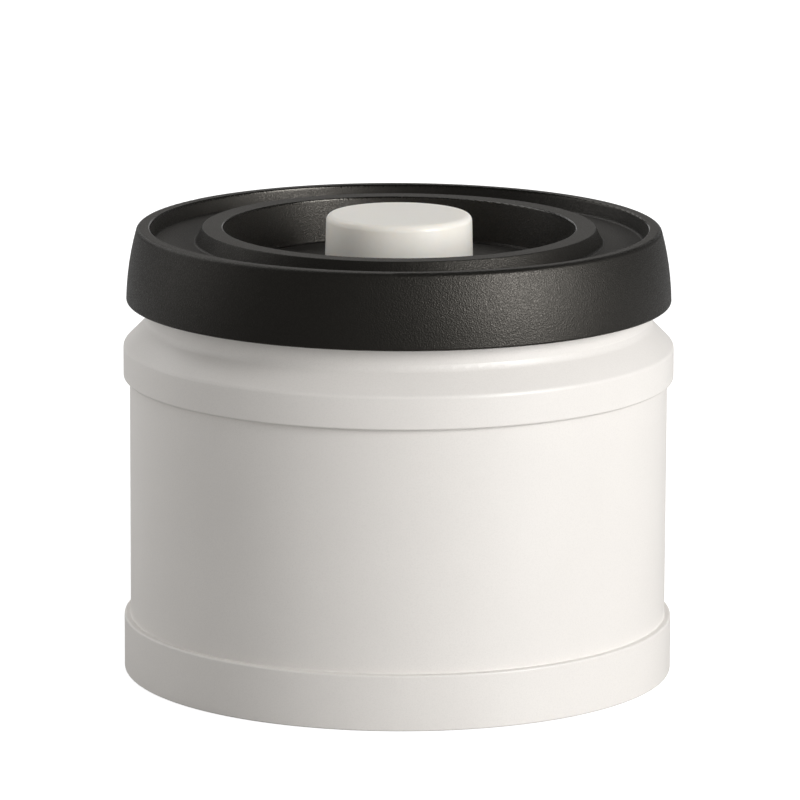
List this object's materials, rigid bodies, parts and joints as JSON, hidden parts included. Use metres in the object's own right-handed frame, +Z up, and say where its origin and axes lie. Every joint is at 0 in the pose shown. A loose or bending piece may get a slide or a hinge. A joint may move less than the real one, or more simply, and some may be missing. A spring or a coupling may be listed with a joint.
{
  "type": "vacuum seal canister",
  "caption": "Round food canister with a lift-off sealing lid; a push button in the lid's well opens a spring-closed air valve.",
  "frame": {"origin": "middle of the base, on the surface that the canister stands on", "axes": "+Z up along the canister's axis; the object is round, so +X and +Y have no feature of their own"},
  "size_m": [0.1094, 0.1094, 0.0917],
  "materials": {
    "body_plastic": "satin warm white, very fine grain",
    "cover_plastic": "matte near-black, fine spark-eroded grain",
    "plug_plastic": "natural, smooth moulded",
    "button_plastic": "off-white, semi-gloss",
    "silicone": "soft, translucent grey-white",
    "spring_steel": "drawn stainless wire"
  },
  "bodies": {
    "canister": {"canister_body": "body_plastic"},
    "lid": {"lid_shell": "cover_plastic", "inner_lid": "plug_plastic", "lip_seal": "silicone", "button_spring": "spring_steel"},
    "button": {"button_cap": "button_plastic", "valve_stem": "plug_plastic", "valve_disc": "silicone", "stem_retainer": "plug_plastic"}
  },
  "joints": [
    {"name": "lid_lift", "type": "slide", "parent": "canister", "child": "lid", "axis": [0, 0, 1], "range_m": [0, 0.045]},
    {"name": "button_press", "type": "slide", "parent": "lid", "child": "button", "axis": [0, 0, -1], "range_m": [0, 0.0023], "stiffness_N_per_m": 600, "springref_m": -0.004, "deforming": ["button_spring"]}
  ]
}
